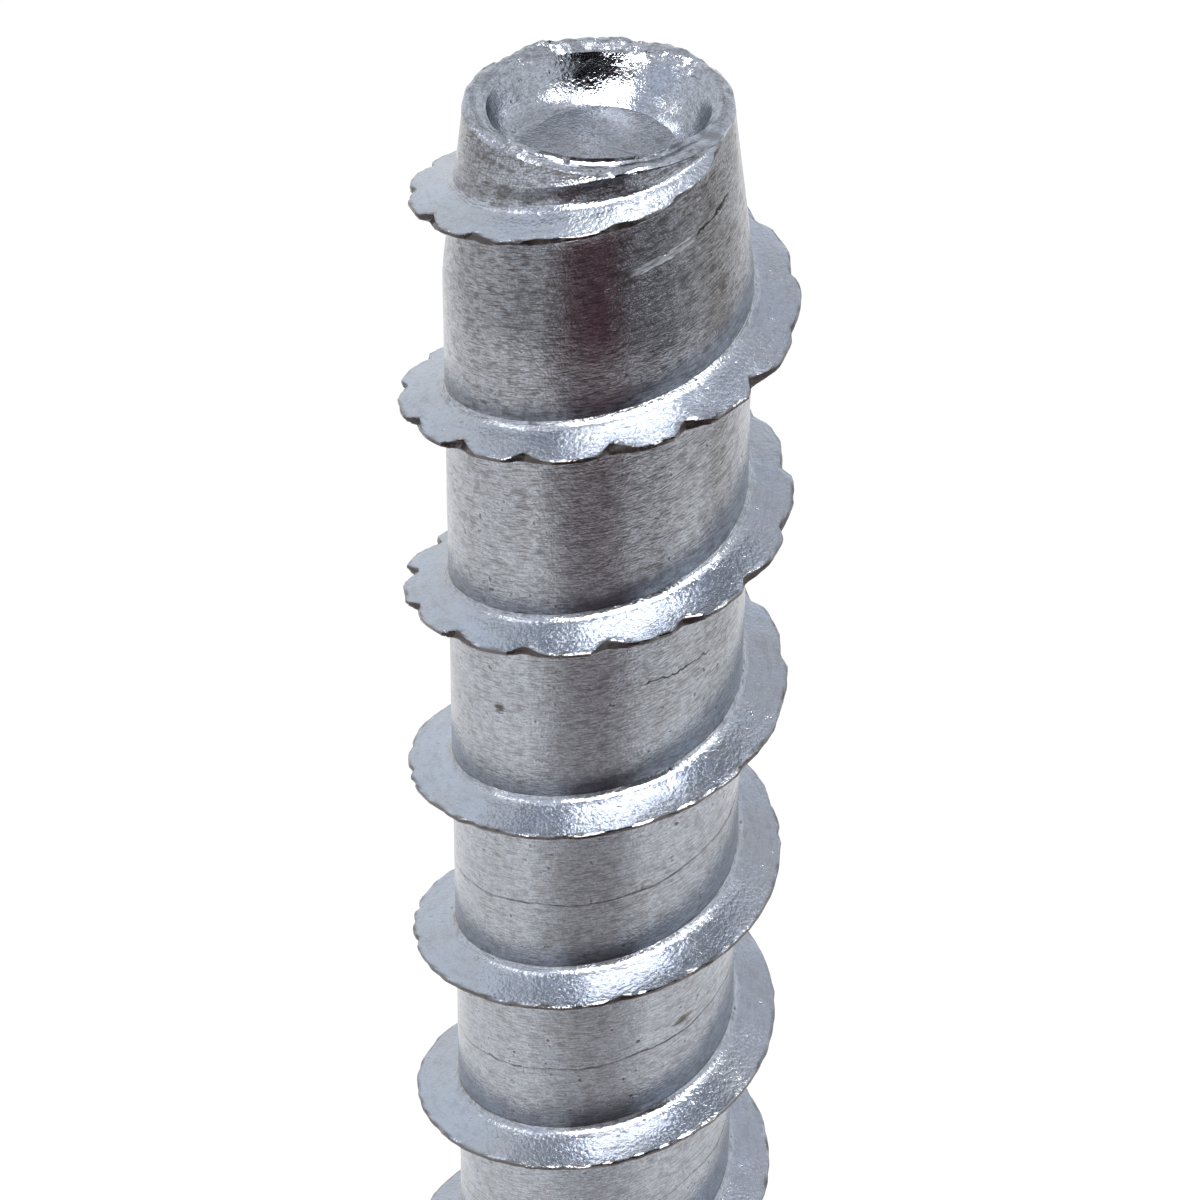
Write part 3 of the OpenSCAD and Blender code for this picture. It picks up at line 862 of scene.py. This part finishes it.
def add_card(name, middle, facing, size, tint, strength):
    """A flat card that only reflections see, turned to face a direction."""
    made = bmesh.new()
    bmesh.ops.create_grid(made, x_segments=1, y_segments=1, size=0.5)
    bmesh.ops.scale(made, vec=(size[0], size[1], 1), verts=made.verts)
    turn = Vector(facing).to_track_quat("Z", "Y").to_matrix()
    bmesh.ops.rotate(made, cent=(0, 0, 0), matrix=turn, verts=made.verts)
    bmesh.ops.translate(made, vec=middle, verts=made.verts)
    mesh = bpy.data.meshes.new(name)
    made.to_mesh(mesh)
    made.free()
    card = bpy.data.objects.new(name, mesh)
    bpy.context.collection.objects.link(card)
    skin = bpy.data.materials.new(name)
    skin.use_nodes = True
    skin.node_tree.nodes.clear()
    glow = node(skin.node_tree, "ShaderNodeEmission", {}, {
        "Color": colour(tint), "Strength": strength})
    node(skin.node_tree, "ShaderNodeOutputMaterial", {}, {"Surface": glow.outputs[0]})
    mesh.materials.append(skin)
    card.visible_camera = card.visible_diffuse = False
    card.visible_shadow = card.visible_transmission = False


print("lamps and cards are aimed at the tip, at", [round(c, 3) for c in TOP])

# %% the lamps and the cards
LAMP_AWAY = 0.6
# The lamps, as seen from the tip: side, height, size and brightness.
lamps = [
    ("front_softbox", -40, 56, (0.2, 0.12), 22.0),
    ("top_softbox", 8, 70, (0.2, 0.12), 23.0),
    ("right_softbox", 62, 51, (0.13, 0.1), 10.0),
    ("left_softbox", -110, 39, (0.1, 0.08), 5.0),
    ("back_softbox", -158, 70, (0.14, 0.12), 4.0),
]
for name, side, height, size, radiance in lamps:
    add_lamp(name, towards(side, height, LAMP_AWAY), size, radiance)
# The hanging cards, as seen from the tip: side, height, distance, size, colour and strength.
hanging_cards = [
    ("top_card", 90, 80, 0.8, (0.5, 0.5), "#F2F4FA", 1.4),
    ("left_card", -80, 40, 0.8, (0.5, 0.4), "#E6EEFF", 1.1),
    ("dim_back_right", 132, 48, 0.8, (0.5, 0.5), "#DADCE2", 1.0),
    ("dim_room_high", 0, 36, 0.7, (1.0, 0.42), "#A8A8AC", 1.0),
    ("dim_back", 180, 30, 0.8, (0.36, 0.2), "#C8CAD0", 1.0),
    ("dim_back_high", 160, 67, 0.8, (0.3, 0.2), "#C8CCD3", 1.0),
    ("dim_camera", 2, 42, 0.3, (0.32, 0.16), "#060607", 1.0),
]
for name, side, height, away, size, tint, strength in hanging_cards:
    spot = towards(side, height, away)
    add_card(name, spot, TOP - spot, size, tint, strength)
# The white paper ends a hand's width in front of the screw, and beyond it the table and the room are dim.
UP, BACKWARD = (0, 0, 1), (0, 1, 0)
ON_FLOOR = 0.001
# The standing and lying cards: middle, side they face, size and colour.
placed_cards = [
    ("dim_table", (-0.03, -0.32, ON_FLOOR), UP, (0.24, 0.36), "#68494F"),
    ("dim_table_left", (-0.375, -0.29, ON_FLOOR), UP, (0.45, 0.42), "#97979B"),
    ("dim_table_right", (0.19, -0.3, ON_FLOOR), UP, (0.2, 0.4), "#5F5D63"),
    ("dim_table_far_right", (0.44, -0.25, ON_FLOOR), UP, (0.3, 0.5), "#7E7E82"),
    ("dim_side_left", (-0.33, 0.11, ON_FLOOR), UP, (0.33, 0.38), "#D4D4D6"),
    ("dim_side_right", (0.33, 0.13, ON_FLOOR), UP, (0.33, 0.46), "#D2D0D0"),
    ("brown_side", (0.2, 0.03, 2 * ON_FLOOR), UP, (0.12, 0.06), "#9A8F84"),
    ("dim_room", (-0.05, -0.5, 0.12), BACKWARD, (0.5, 0.26), "#43323A"),
    ("dim_paper", (-0.012, -0.1, ON_FLOOR), UP, (0.13, 0.08), "#D0D0D2"),
    ("dim_paper_middle", (-0.007, -0.105, 2 * ON_FLOOR), UP, (0.07, 0.07), "#BEBCBE"),
]
for name, middle, facing, size, tint in placed_cards:
    add_card(name, middle, facing, size, tint, 1.0)
print(len(lamps), "lamps and", len(hanging_cards) + len(placed_cards), "cards")

# %% the camera
# The place and the angles of the photograph's camera, found by matching the thread's turns.
CAMERA_BACK = 0.130536
CAMERA_RISE = 0.074118
CAMERA_DOWN = math.radians(36.2095)
CAMERA_YAW = math.radians(0.053)
CAMERA_ROLL = math.radians(0.2764)
LENS_MM, SENSOR_MM = 129.286, 36

lens = bpy.data.cameras.new("camera")
lens.sensor_width = SENSOR_MM
lens.lens = LENS_MM
camera = bpy.data.objects.new("camera", lens)
camera.location = (0, -CAMERA_BACK, TIP_Z * MM + CAMERA_RISE)
aim = (Matrix.Rotation(-CAMERA_YAW, 3, "Z") @ Matrix.Rotation(math.pi / 2 - CAMERA_DOWN, 3, "X")
       @ Matrix.Rotation(CAMERA_ROLL, 3, "Z"))
camera.rotation_euler = aim.to_euler()
bpy.context.collection.objects.link(camera)
bpy.context.scene.camera = camera
bpy.context.scene.view_settings.view_transform = "Standard"
print("camera at", [round(c, 4) for c in camera.location])

# %% [markdown]
# Last, the view layer is brought up to date.

# %% finish
bpy.context.view_layer.update()
